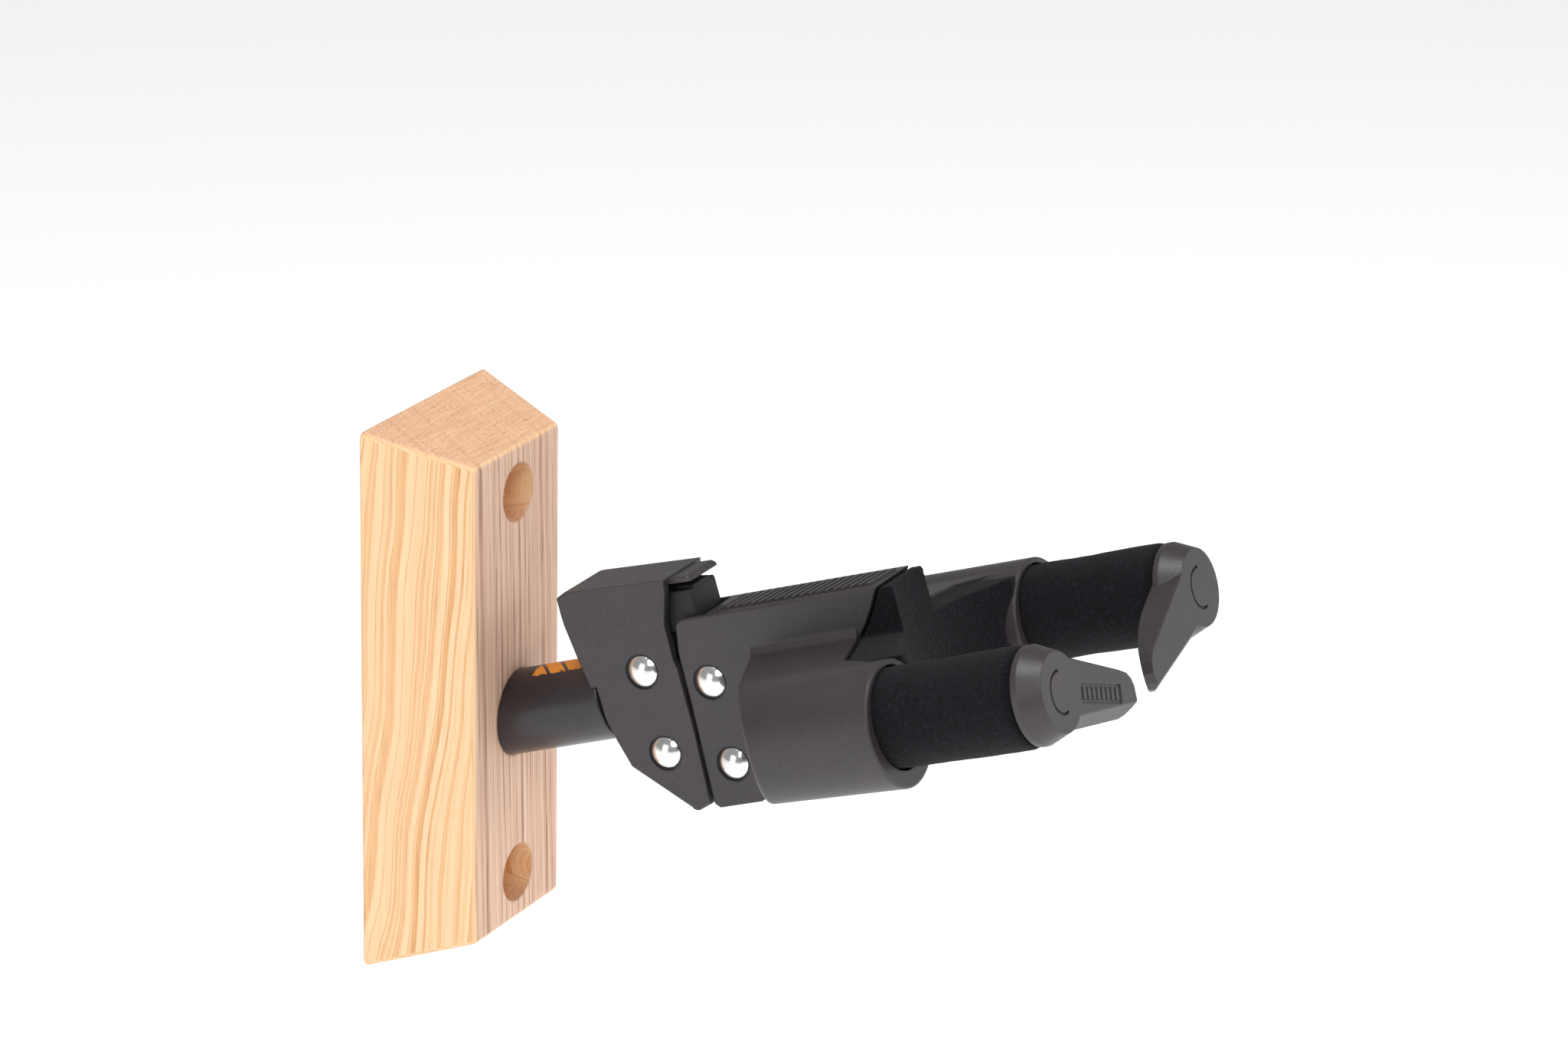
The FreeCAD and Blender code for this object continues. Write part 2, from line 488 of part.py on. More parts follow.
# gates: a round hub on the arm's end running out into a tapered finger
def gate(side, sg):
    y = sg * ARM_HALF_SPACING
    dip = math.radians(GATE_DIP_DEG)

    def at(x, v):
        # x toward the other arm, v up
        return y - sg * x, ARM_C + v

    def loc(x, v):
        # x along the finger, v square to it and upward
        return at(x * math.cos(dip) + v * math.sin(dip), -x * math.sin(dip) + v * math.cos(dip))

    hub = Part.makeLoft([circ(GATE_REAR_A, y, ARM_C, GATE_R - 0.4), circ(GATE_REAR_A + 0.4, y, ARM_C, GATE_R),
                         circ(GATE_REAR_A + 1.6, y, ARM_C, GATE_R),
                         circ(GATE_FRONT_A, y, ARM_C, GATE_FACE_R)], True, True)
    side_line = [(-2.6, 8.1), (3.0, 7.0), (27.0, -3.9), (29.4, -5.2), (30.9, -7.0), (31.6, -9.2), (31.3, -11.4), (30.1, -13.0),
                 (28.4, -13.9), (26.2, -14.0), (0.0, -8.5), (-5.0, -3.0)]
    fin_ = poly_a([at(*p) for p in side_line], GATE_REAR_A, GATE_FRONT_A)
    # the finger thins toward its tip from behind
    w = Part.makePolygon([V(q[0], at(q[1], 0)[0], -60) for q in
                          [(140, 17.0), (144.85, 17.0), (145.6, 22.0), (146.9, 26.6), (149.2, 32.5), (149.2, 40), (140, 40), (140, 17.0)]])
    fin_ = fin_.cut(Part.Face(w).extrude(V(0, 0, 120)))
    # long bevel under the face
    e0, e1 = at(-8.0, -4.0), at(40.0, -13.95)
    f0, f1 = at(-8.0, -6.9), at(40.0, -16.85)
    k0, k1 = at(-8.0, -30.0), at(40.0, -30.0)
    bev = Part.makeLoft([Part.makePolygon([V(GATE_FRONT_A + 1.0, p[0], p[1]) for p in (at(-8.0, -3.05), at(40.0, -13.0), k1, k0, at(-8.0, -3.05))]),
                         Part.makePolygon([V(GATE_FRONT_A - 3.0, p[0], p[1]) for p in (f0, f1, k1, k0, f0)])], True, True)
    fin_ = fin_.cut(bev)
    g = hub.fuse(fin_).removeSplitter()
    g = fillet(g, 0.4, lambda e: abs(mid(e).x - GATE_FRONT_A) < 0.01)
    # socket for the splined shaft end and the shallow arc round it on the face
    g = g.cut(cyl_a(SHAFT_R + 0.01, GATE_REAR_A - 1, 150.0, *at(0, 0)))
    ring = cyl_a(4.75, GATE_FRONT_A - 0.5, GATE_FRONT_A + 1, *at(0, 0)).cut(cyl_a(4.15, 140, 160, *at(0, 0)))
    keep = poly_a([(y + 1.0, ARM_C + 6), (y + 1.0, ARM_C - 6), (y - 9.0, ARM_C - 7), (y - 9.0, ARM_C + 7)], GATE_FRONT_A - 1, GATE_FRONT_A + 2)
    g = g.cut(ring.common(keep))
    if side == "left":
        # shallow panel with plain upright ribs
        g = g.cut(poly_a([loc(8.6, 1.9), loc(26.4, 1.9), loc(26.4, -2.1), loc(8.6, -2.1)], GATE_FRONT_A - 0.35, GATE_FRONT_A + 1))
        for i in range(8):
            x0 = 9.7 + 2.05 * i
            g = g.fuse(poly_a([loc(x0, 1.2), loc(x0 + 1.15, 1.2), loc(x0 + 1.15, -1.4), loc(x0, -1.4)], GATE_FRONT_A - 0.45, GATE_FRONT_A - 0.02))
    save(side + "_gate", g)
    # shaft, crank plate and crank pin
    sh = cyl_a(SHAFT_R, 96.9, 149.9, y, ARM_C)
    save(side + "_gate_shaft", sh)
    pb, pc = sg * PIN_B, PIN_C
    ck = cyl_a(4.6, 94.9, 98.1, y, ARM_C).fuse(cyl_a(2.5, 94.9, 96.9, pb, pc))
    ck = ck.removeSplitter().cut(cyl_a(SHAFT_R + 0.01, 96.9, 99.5, y, ARM_C)).cut(cyl_a(CRANK_PIN_R + 0.01, 94, 97.5, pb, pc))
    ck = ck.cut(cyl_a(SHAFT_R + 0.01, 96.9, 99, y, ARM_C))
    save(side + "_crank", ck)
    save(side + "_crank_pin", cyl_a(CRANK_PIN_R, 88.4, 96.8, pb, pc))


gate("left", -1)
gate("right", 1)

print(len(NODES), "nodes")
print("upper rear pivot world", HEAD.multVec(V(A0[0], 0, A0[1])))
print("lower rear pivot world", HEAD.multVec(V(B0[0], 0, B0[1])))
print("upper front pivot world", HEAD.multVec(V(A1[0], 0, A1[1])))
print("lower front pivot world", HEAD.multVec(V(B1[0], 0, B1[1])))
print("left arm axis world", HEAD.multVec(V(145.0, -ARM_HALF_SPACING, ARM_C)))
print("right arm axis world", HEAD.multVec(V(145.0, ARM_HALF_SPACING, ARM_C)))
print("swivel axis dir", HEAD.multVec(V(1, 0, 0)).sub(HEAD.multVec(V(0, 0, 0))))
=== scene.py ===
import bpy
import bmesh
import json
import math
import random
from mathutils import Matrix, Vector, noise


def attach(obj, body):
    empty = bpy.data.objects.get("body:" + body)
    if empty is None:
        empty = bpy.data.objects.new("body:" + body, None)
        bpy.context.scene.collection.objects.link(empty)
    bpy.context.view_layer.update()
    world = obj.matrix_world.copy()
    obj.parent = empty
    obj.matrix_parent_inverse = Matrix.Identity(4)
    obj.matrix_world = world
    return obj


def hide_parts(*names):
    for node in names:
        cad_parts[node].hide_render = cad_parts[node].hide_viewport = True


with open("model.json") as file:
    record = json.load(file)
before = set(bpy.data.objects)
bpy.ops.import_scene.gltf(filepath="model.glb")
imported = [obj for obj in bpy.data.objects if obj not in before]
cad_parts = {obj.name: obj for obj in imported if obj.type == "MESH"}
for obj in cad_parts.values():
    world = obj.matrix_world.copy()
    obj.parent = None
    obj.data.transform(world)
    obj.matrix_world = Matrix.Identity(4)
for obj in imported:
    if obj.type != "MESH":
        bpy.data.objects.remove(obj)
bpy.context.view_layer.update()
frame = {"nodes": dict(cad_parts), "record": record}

# ---------------------------------------------------------------- head frame
AL = math.radians(18.49)
CA, SA = math.cos(AL), math.sin(AL)
DEPTH, EXIT_Z = 0.0238, -0.00633
ARM_B, ARM_C = 0.03645, -0.00564


def H(a, b, c):
    """Head frame (forward, right, up; metres) to the row frame."""
    return Vector((b, -DEPTH - a * CA + c * SA, EXIT_Z + a * SA + c * CA))


HM = Matrix(((0, 1, 0, 0), (-CA, 0, SA, -DEPTH), (SA, 0, CA, EXIT_Z), (0, 0, 0, 1)))

# ---------------------------------------------------------------- node helpers


class Nodes:
    def __init__(self, name):
        self.m = bpy.data.materials.new(name)
        self.m.use_nodes = True
        self.t = self.m.node_tree
        self.t.nodes.clear()
        self.out = self.t.nodes.new("ShaderNodeOutputMaterial")
        self.b = self.t.nodes.new("ShaderNodeBsdfPrincipled")
        self.t.links.new(self.b.outputs[0], self.out.inputs[0])
        self.co = self.t.nodes.new("ShaderNodeTexCoord").outputs["Object"]

    def put(self, sock, v):
        if hasattr(v, "is_output"):
            self.t.links.new(v, sock)
        elif v is not None:
            sock.default_value = v

    def n(self, kind, **kw):
        nd = self.t.nodes.new(kind)
        ins = kw.pop("ins", {})
        for k, v in kw.items():
            setattr(nd, k, v)
        for k, v in ins.items():
            self.put(nd.inputs[k], v)
        return nd

    def math(self, op, a, b=None, c=None, clamp=False):
        nd = self.n("ShaderNodeMath", operation=op, use_clamp=clamp)
        self.put(nd.inputs[0], a)
        if b is not None:
            self.put(nd.inputs[1], b)
        if c is not None:
            self.put(nd.inputs[2], c)
        return nd.outputs[0]

    def vmath(self, op, a, b=None, scale=None):
        nd = self.n("ShaderNodeVectorMath", operation=op)
        self.put(nd.inputs[0], a)
        if b is not None:
            self.put(nd.inputs[1], b)
        if scale is not None:
            self.put(nd.inputs["Scale"], scale)
        return nd.outputs["Value"] if op in ("LENGTH", "DOT_PRODUCT", "DISTANCE") else nd.outputs[0]

    def mapping(self, vec, scale=(1, 1, 1), rot=(0, 0, 0), loc=(0, 0, 0)):
        nd = self.n("ShaderNodeMapping")
        self.put(nd.inputs["Vector"], vec)
        nd.inputs["Scale"].default_value = scale
        nd.inputs["Rotation"].default_value = rot
        nd.inputs["Location"].default_value = loc
        return nd.outputs[0]

    def noise(self, vec, scale, detail=4.0, rough=0.55, dist=0.0, color=False):
        nd = self.n("ShaderNodeTexNoise")
        self.put(nd.inputs["Vector"], vec)
        self.put(nd.inputs["Scale"], scale)
        nd.inputs["Detail"].default_value = detail
        nd.inputs["Roughness"].default_value = rough
        nd.inputs["Distortion"].default_value = dist
        return nd.outputs["Color" if color else "Fac"]

    def voronoi(self, vec, scale, feature="F1", rand=1.0, out="Distance"):
        nd = self.n("ShaderNodeTexVoronoi", feature=feature)
        self.put(nd.inputs["Vector"], vec)
        self.put(nd.inputs["Scale"], scale)
        nd.inputs["Randomness"].default_value = rand
        return nd.outputs[out]

    def ramp(self, fac, stops, interp="LINEAR"):
        nd = self.n("ShaderNodeValToRGB")
        self.put(nd.inputs[0], fac)
        cr = nd.color_ramp
        cr.interpolation = interp
        while len(cr.elements) > 1:
            cr.elements.remove(cr.elements[-1])
        cr.elements[0].position = stops[0][0]
        cr.elements[0].color = tuple(stops[0][1]) + (1,) if len(stops[0][1]) == 3 else stops[0][1]
        for p, c in stops[1:]:
            e = cr.elements.new(p)
            e.color = tuple(c) + (1,) if len(c) == 3 else c
        return nd.outputs[0]

    def mix(self, fac, a, b, mode="MIX"):
        nd = self.n("ShaderNodeMix", data_type="RGBA", blend_type=mode)
        self.put(nd.inputs[0], fac)
        self.put(nd.inputs[6], a if hasattr(a, "is_output") else tuple(a) + (1,) if len(a) == 3 else a)
        self.put(nd.inputs[7], b if hasattr(b, "is_output") else tuple(b) + (1,) if len(b) == 3 else b)
        return nd.outputs[2]

    def maprange(self, v, a, b, c, d, clamp=True, smooth=False):
        nd = self.n("ShaderNodeMapRange", clamp=clamp)
        if smooth:
            nd.interpolation_type = "SMOOTHSTEP"
        self.put(nd.inputs[0], v)
        for i, x in enumerate((a, b, c, d)):
            nd.inputs[i + 1].default_value = x
        return nd.outputs[0]

    def bump(self, height, strength, dist, normal=None):
        nd = self.n("ShaderNodeBump")
        nd.inputs["Strength"].default_value = strength
        nd.inputs["Distance"].default_value = dist
        self.put(nd.inputs["Height"], height)
        if normal is not None:
            self.put(nd.inputs["Normal"], normal)
        return nd.outputs[0]

    def rounded(self, radius):
        """Normal of the surface with its edges rounded off by radius."""
        if not hasattr(self, "bev"):
            self.bev = self.n("ShaderNodeBevel", samples=3)
            self.bev.inputs["Radius"].default_value = radius
        return self.bev.outputs[0]

    def edge(self, radius, lo=0.02, hi=0.35):
        """0 on flats, 1 on sharp outer edges."""
        g = self.n("ShaderNodeNewGeometry")
        d = self.vmath("DOT_PRODUCT", self.rounded(radius), g.outputs["Normal"])
        return self.maprange(self.math("SUBTRACT", 1.0, d), lo, hi, 0.0, 1.0)

    def head(self):
        """Head frame coordinates (forward, right, up) from the object coordinates."""
        x, y, z = self.n("ShaderNodeSeparateXYZ", ins={0: self.co}).outputs
        y = self.math("ADD", y, DEPTH)
        z = self.math("SUBTRACT", z, EXIT_Z)
        a = self.math("SUBTRACT", self.math("MULTIPLY", z, SA), self.math("MULTIPLY", y, CA))
        c = self.math("ADD", self.math("MULTIPLY", z, CA), self.math("MULTIPLY", y, SA))
        return a, x, c


def srgb(r, g, b):
    def f(x):
        x = x / 255.0
        return x / 12.92 if x <= 0.04045 else ((x + 0.055) / 1.055) ** 2.4
    return (f(r), f(g), f(b))


# ---------------------------------------------------------------- ash wood
def mat_ash():
    k = Nodes("ash_wood")
    co = k.co
    x, y, z = k.n("ShaderNodeSeparateXYZ", ins={0: co}).outputs
    warp = k.noise(k.mapping(co, scale=(26, 22, 10.0), loc=(1.3, 0.2, 0.4)), 1.0, 2.0, 0.45)
    warp2 = k.noise(k.mapping(co, scale=(150, 140, 30), loc=(3, 1, 7)), 1.0, 2.0, 0.5)
    # growth rings: slanting through the block, so the front shows fine straight stripes
    # and the sloping sides show wider flowing figure
    u = k.math("SUBTRACT", k.math("MULTIPLY", x, 0.906), k.math("MULTIPLY", y, 0.423))
    u = k.math("ADD", u, k.math("MULTIPLY", z, 0.030))
    gn = k.n("ShaderNodeNewGeometry").outputs["Normal"]
    nx, ny, nz = k.n("ShaderNodeSeparateXYZ", ins={0: gn}).outputs
    side = k.maprange(k.math("ABSOLUTE", nx), 0.55, 0.85, 0.0, 1.0)
    u = k.math("SUBTRACT", u, k.math("MULTIPLY", side, k.math("MULTIPLY", z, 0.115)))
    amp = k.math("ADD", 0.0016, k.math("MULTIPLY", side, 0.0150))
    u = k.math("ADD", u, k.math("MULTIPLY", k.math("SUBTRACT", warp, 0.5), amp))
    u = k.math("ADD", u, k.math("MULTIPLY", k.math("SUBTRACT", warp2, 0.5), 0.0008))
    n1 = k.n("ShaderNodeTexNoise", noise_dimensions="1D")
    k.put(n1.inputs["W"], k.math("MULTIPLY", u, 190.0))
    n1.inputs["Detail"].default_value = 1.0
    u = k.math("ADD", u, k.math("MULTIPLY", k.math("SUBTRACT", n1.outputs["Fac"], 0.5), 0.0042))
    q = k.math("DIVIDE", k.math("ADD", u, 0.5), 0.0024)
    ring = k.math("FRACT", q)
    wn = k.n("ShaderNodeTexWhiteNoise", noise_dimensions="1D")
    k.put(wn.inputs["W"], k.math("FLOOR", k.math("ADD", q, 0.5)))
    force = k.math("ADD", 0.42, k.math("MULTIPLY", wn.outputs["Value"], 0.58))
    pore_n = k.noise(k.mapping(co, scale=(2700, 2700, 75)), 1.0, 1.5, 0.5)
    pores = k.maprange(pore_n, 0.54, 0.68, 0.0, 1.0)
    early = k.ramp(ring, [(0.0, (1, 1, 1)), (0.14, (1, 1, 1)), (0.36, (0.15, 0.15, 0.15)), (0.84, (0, 0, 0)),
                          (0.94, (0.2, 0.2, 0.2)), (1.0, (1, 1, 1))])
    early = k.math("MULTIPLY", early, force)
    fibre = k.noise(k.mapping(co, scale=(1100, 1100, 17)), 1.0, 3.0, 0.6)
    blot = k.noise(k.mapping(co, scale=(24, 24, 9), loc=(5, 2, 1)), 1.0, 2.0, 0.5)
    # side figure
    band = k.ramp(ring, [(0.0, srgb(226, 166, 112)), (0.10, srgb(232, 176, 122)), (0.30, srgb(246, 208, 160)),
                         (0.62, srgb(252, 222, 178)), (0.88, srgb(250, 214, 168)), (0.96, srgb(238, 188, 136)),
                         (1.0, srgb(226, 166, 112))])
    band = k.mix(force, srgb(247, 206, 158), band)
    col = k.mix(k.maprange(fibre, 0.35, 0.7, 0.0, 0.38), band, srgb(240, 190, 142))
    col = k.mix(k.maprange(blot, 0.35, 0.7, 0.0, 0.30), col, srgb(250, 200, 158))
    pm = k.math("MULTIPLY", pores, k.math("ADD", k.math("MULTIPLY", early, 0.34), 0.05))
    col = k.mix(pm, col, srgb(196, 128, 80))
    # front: pinker, with darker broken pore lines
    ff = k.maprange(ny, -0.97, -0.80, 1.0, 0.0)
    fband = k.ramp(ring, [(0.0, srgb(186, 138, 112)), (0.12, srgb(196, 148, 122)), (0.34, srgb(230, 192, 166)),
                          (0.66, srgb(238, 204, 180)), (0.90, srgb(232, 194, 170)), (1.0, srgb(186, 138, 112))])
    fband = k.mix(force, srgb(232, 196, 170), fband)
    fcol = k.mix(k.maprange(fibre, 0.35, 0.7, 0.0, 0.45), fband, srgb(222, 178, 152))
    dash = k.noise(k.mapping(co, scale=(1500, 1500, 48), loc=(2, 2, 2)), 1.0, 2.0, 0.5)
    fm = k.math("MULTIPLY", k.maprange(dash, 0.50, 0.62, 0.0, 1.0), k.math("ADD", k.math("MULTIPLY", early, 0.58), 0.08))
    fcol = k.mix(fm, fcol, srgb(122, 78, 58))
    col = k.mix(ff, col, fcol)
    # end grain: pores cut across
    endf = k.maprange(k.math("ABSOLUTE", nz), 0.60, 0.88, 0.0, 1.0)
    dots = k.voronoi(k.mapping(co, scale=(1500, 1500, 300)), 1.0)
    dotm = k.math("MULTIPLY", k.maprange(dots, 0.16, 0.34, 1.0, 0.0), k.math("ADD", k.math("MULTIPLY", early, 0.45), 0.34))
    rays = k.noise(k.mapping(co, scale=(120, 2200, 60), rot=(0, 0, 0.45)), 1.0, 3.0, 0.6)
    ecol = k.mix(k.maprange(rays, 0.35, 0.7, 0.0, 0.7), srgb(240, 196, 158), srgb(214, 160, 124))
    ecol = k.mix(k.math("MULTIPLY", early, 0.20), ecol, srgb(204, 146, 108))
    ecol = k.mix(dotm, ecol, srgb(140, 92, 66))
    col = k.mix(endf, col, ecol)
    # edges lightened: partly real rubbed wear, partly a painted highlight along the rounded edges
    wear_and_edge_highlight = k.edge(0.0009, 0.03, 0.5)
    col = k.mix(k.math("MULTIPLY", wear_and_edge_highlight, 0.30), col, srgb(252, 226, 196))
    k.put(k.b.inputs["Base Color"], col)
    rg = k.math("ADD", k.math("MULTIPLY", fibre, 0.16), k.math("ADD", k.math("MULTIPLY", pm, 0.18), 0.50))
    k.put(k.b.inputs["Roughness"], rg)
    h = k.math("ADD", k.math("MULTIPLY", k.math("MAXIMUM", pm, k.math("MULTIPLY", fm, ff)), -1.0), k.math("MULTIPLY", fibre, 0.25))
    h = k.math("ADD", h, k.math("MULTIPLY", early, -0.20))
    k.put(k.b.inputs["Normal"], k.bump(h, 0.55, 0.00016, k.rounded(0.0008)))
    k.b.inputs["Coat Weight"].default_value = 0.05
    k.b.inputs["Coat Roughness"].default_value = 0.4
    k.b.inputs["Specular IOR Level"].default_value = 0.35
    return k.m


# ---------------------------------------------------------------- moulded plastic
def mat_plastic(name, base, rough=0.50, grain=0.5, edge_wear_highlight_gain=0.5):
    k = Nodes(name)
    co = k.co
    spark = k.noise(co, 2600, 3.0, 0.7)
    fine = k.voronoi(co, 3300)
    cloud = k.noise(co, 60, 3.0, 0.55)
    streak = k.noise(k.mapping(co, scale=(90, 420, 420), rot=(0.3, 0.1, 0.2)), 1.0, 3.0, 0.6)
    dark = tuple(v * 0.80 for v in base)
    lite = tuple(min(1.0, v * 1.25) for v in base)
    col = k.mix(k.maprange(cloud, 0.3, 0.7, 0.0, 1.0), dark, lite)
    col = k.mix(k.maprange(spark, 0.42, 0.66, 0.0, 0.55), col, tuple(v * 2.0 for v in base))
    # lighter patchy edges: partly real wear, partly a painted highlight along the rims
    e = k.edge(0.0005, 0.03, 0.5)
    worn_and_highlit_edge = k.math("MULTIPLY", e, k.maprange(k.noise(co, 420, 3.0, 0.6), 0.35, 0.65, 0.35, 1.0))
    col = k.mix(k.math("MULTIPLY", worn_and_highlit_edge, edge_wear_highlight_gain), col, tuple(min(1.0, v * 2.6) for v in base))
    k.put(k.b.inputs["Base Color"], col)
    r = k.math("ADD", k.math("MULTIPLY", cloud, 0.10), rough - 0.05)
    r = k.math("ADD", r, k.math("MULTIPLY", streak, 0.06))
    k.put(k.b.inputs["Roughness"], r)
    h = k.math("ADD", k.math("MULTIPLY", spark, 0.6), k.math("MULTIPLY", fine, 0.5))
    k.put(k.b.inputs["Normal"], k.bump(h, grain, 0.00007, k.rounded(0.00045)))
    k.b.inputs["Specular IOR Level"].default_value = 0.58
    return k.m


def mat_foam(name, base):
    k = Nodes(name)
    co = k.co
    cell = k.voronoi(co, 1500)
    cell2 = k.voronoi(co, 3600)
    n1 = k.noise(co, 900, 4.0, 0.65)
    cloud = k.noise(co, 90, 3.0, 0.5)
    pits = k.maprange(cell, 0.08, 0.42, 0.0, 1.0)
    col = k.mix(pits, tuple(v * 0.45 for v in base), base)
    col = k.mix(k.maprange(n1, 0.48, 0.66, 0.0, 0.9), col, tuple(v * 3.4 for v in base))
    col = k.mix(k.maprange(cloud, 0.35, 0.75, 0.0, 0.4), col, tuple(v * 1.5 for v in base))
    k.put(k.b.inputs["Base Color"], col)
    k.put(k.b.inputs["Roughness"], k.maprange(n1, 0.3, 0.7, 0.80, 0.98))
    h = k.math("ADD", k.math("MULTIPLY", pits, 0.8), k.math("MULTIPLY", cell2, 0.5))
    h = k.math("ADD", h, k.math("MULTIPLY", n1, 0.7))
    k.put(k.b.inputs["Normal"], k.bump(h, 0.85, 0.00030))
    k.b.inputs["Sheen Weight"].default_value = 0.05
    k.b.inputs["Sheen Roughness"].default_value = 0.6
    k.b.inputs["Specular IOR Level"].default_value = 0.12
    return k.m


def mat_paint(name, base, rough=0.28):
    k = Nodes(name)
    co = k.co
    peel = k.noise(co, 1400, 2.0, 0.5)
    cloud = k.noise(co, 70, 3.0, 0.5)
    scr = k.noise(k.mapping(co, scale=(2600, 120, 300), rot=(0.32, 0, 0)), 1.0, 2.0, 0.5)
    sc = k.maprange(scr, 0.66, 0.72, 0.0, 1.0)
    col = k.mix(k.maprange(cloud, 0.35, 0.7, 0.0, 1.0), tuple(v * 0.8 for v in base), tuple(v * 1.3 for v in base))
    col = k.mix(k.math("MULTIPLY", sc, 0.25), col, tuple(min(1, v * 3) for v in base))
    k.put(k.b.inputs["Base Color"], col)
    r = k.math("ADD", k.math("MULTIPLY", cloud, 0.16), rough - 0.06)
    r = k.math("ADD", r, k.math("MULTIPLY", sc, 0.15))
    k.put(k.b.inputs["Roughness"], r)
    k.put(k.b.inputs["Normal"], k.bump(peel, 0.16, 0.00008, k.rounded(0.0003)))
    k.b.inputs["Coat Weight"].default_value = 0.25
    k.b.inputs["Coat Roughness"].default_value = 0.18
    return k.m


def mat_tube():
    """Black powder coat with a plain orange printed label on top, near the bracket."""
    k = Nodes("black_steel")
    co = k.co
    a, b, c = k.head()
    peel = k.noise(co, 1500, 2.0, 0.5)
    cloud = k.noise(co, 70, 3.0, 0.5)
    scr = k.noise(k.mapping(co, scale=(2600, 150, 300), rot=(0.32, 0, 0)), 1.0, 2.0, 0.5)
    sc = k.maprange(scr, 0.64, 0.70, 0.0, 1.0)
    col = k.mix(k.maprange(cloud, 0.35, 0.7, 0.0, 1.0), (0.016, 0.012, 0.014), (0.030, 0.025, 0.029))
    col = k.mix(k.math("MULTIPLY", sc, 0.25), col, (0.07, 0.065, 0.07))
    rag = k.math("MULTIPLY", k.math("SUBTRACT", k.noise(co, 900, 2.0, 0.6), 0.5), 0.0016)
    m1 = k.maprange(k.math("ADD", c, rag), 0.00820, 0.00835, 0.0, 1.0)
    m2 = k.maprange(k.math("ADD", a, rag), 0.0090, 0.0092, 0.0, 1.0)
    m3 = k.maprange(k.math("FRACT", k.math("MULTIPLY", k.math("ADD", a, k.math("MULTIPLY", b, 0.8)), 210.0)), 0.16, 0.22, 0.0, 1.0)
    lab = k.math("MULTIPLY", k.math("MULTIPLY", m1, m2), m3)
    col = k.mix(lab, col, srgb(214, 132, 32))
    k.put(k.b.inputs["Base Color"], col)
    r = k.math("ADD", k.math("MULTIPLY", cloud, 0.16), 0.26)
    k.put(k.b.inputs["Roughness"], k.math("ADD", r, k.math("MULTIPLY", lab, 0.2)))
    h = k.math("ADD", peel, k.math("MULTIPLY", lab, 1.5))
    k.put(k.b.inputs["Normal"], k.bump(h, 0.16, 0.00008, k.rounded(0.0003)))
    k.b.inputs["Coat Weight"].default_value = 0.15
    k.b.inputs["Coat Roughness"].default_value = 0.2
    return k.m


def mat_metal(name, base, rough=0.25, brush=0.4, scale=(60, 2400, 2400)):
    k = Nodes(name)
    co = k.co
    br = k.noise(k.mapping(co, scale=scale, rot=(0.32, 0, 0)), 1.0, 3.0, 0.6)
    cloud = k.noise(co, 150, 3.0, 0.5)
    col = k.mix(k.maprange(cloud, 0.3, 0.7, 0.0, 1.0), tuple(v * 0.86 for v in base), tuple(min(1, v * 1.06) for v in base))
    col = k.mix(k.maprange(br, 0.5, 0.75, 0.0, 0.35), col, tuple(v * 0.7 for v in base))
    k.put(k.b.inputs["Base Color"], col)
    k.b.inputs["Metallic"].default_value = 1.0
    k.put(k.b.inputs["Roughness"], k.math("ADD", k.math("MULTIPLY", br, 0.14), k.math("ADD", k.math("MULTIPLY", cloud, 0.08), rough - 0.1)))
    k.put(k.b.inputs["Normal"], k.bump(br, brush, 0.00003))
    return k.m


M = {
    "ash_wood": mat_ash(),
    "charcoal_plastic": mat_plastic("charcoal_plastic", (0.029, 0.0235, 0.0285), 0.40, 0.65, 0.45),
    "gate_plastic": mat_plastic("gate_plastic", (0.030, 0.0245, 0.0295), 0.38, 0.55, 0.5),
    "core_plastic": mat_plastic("core_plastic", (0.005, 0.0045, 0.006), 0.6, 0.5, 0.3),
    "bush_plastic": mat_plastic("bush_plastic", (0.030, 0.030, 0.034), 0.45, 0.3, 0.3),
    "black_foam": mat_foam("black_foam", (0.0048, 0.0036, 0.0056)),
    "black_steel": mat_tube(),
    "arm_steel": mat_paint("arm_steel", (0.03, 0.03, 0.03), 0.35),
    "polished_rivet": mat_metal("polished_rivet", (0.86, 0.85, 0.84), 0.17, 0.10),
    "zinc_steel": mat_metal("zinc_steel", (0.66, 0.66, 0.64), 0.32, 0.35),
    "spring_steel": mat_metal("spring_steel", (0.36, 0.36, 0.37), 0.30, 0.3),
    "link_steel": mat_metal("link_steel", (0.26, 0.26, 0.27), 0.42, 0.4),
}
slots = {s["node"]: s["material_slot"] for s in frame["record"]["subparts"]}
for node, ob in frame["nodes"].items():
    m = M[slots[node]]
    ob.data.materials.clear()
    ob.data.materials.append(m)


def new_mesh(name, bm, mat, smooth=True):
    me = bpy.data.meshes.new(name)
    bm.to_mesh(me)
    bm.free()
    ob = bpy.data.objects.new(name, me)
    bpy.context.scene.collection.objects.link(ob)
    if smooth:
        for p in me.polygons:
            p.use_smooth = True
    me.materials.append(mat)
    return ob


def apply_mods(ob):
    dg = bpy.context.evaluated_depsgraph_get()
    me = bpy.data.meshes.new_from_object(ob.evaluated_get(dg))
    old = ob.data
    ob.modifiers.clear()
    ob.data = me
    for p in me.polygons:
        p.use_smooth = True
    bpy.data.meshes.remove(old)


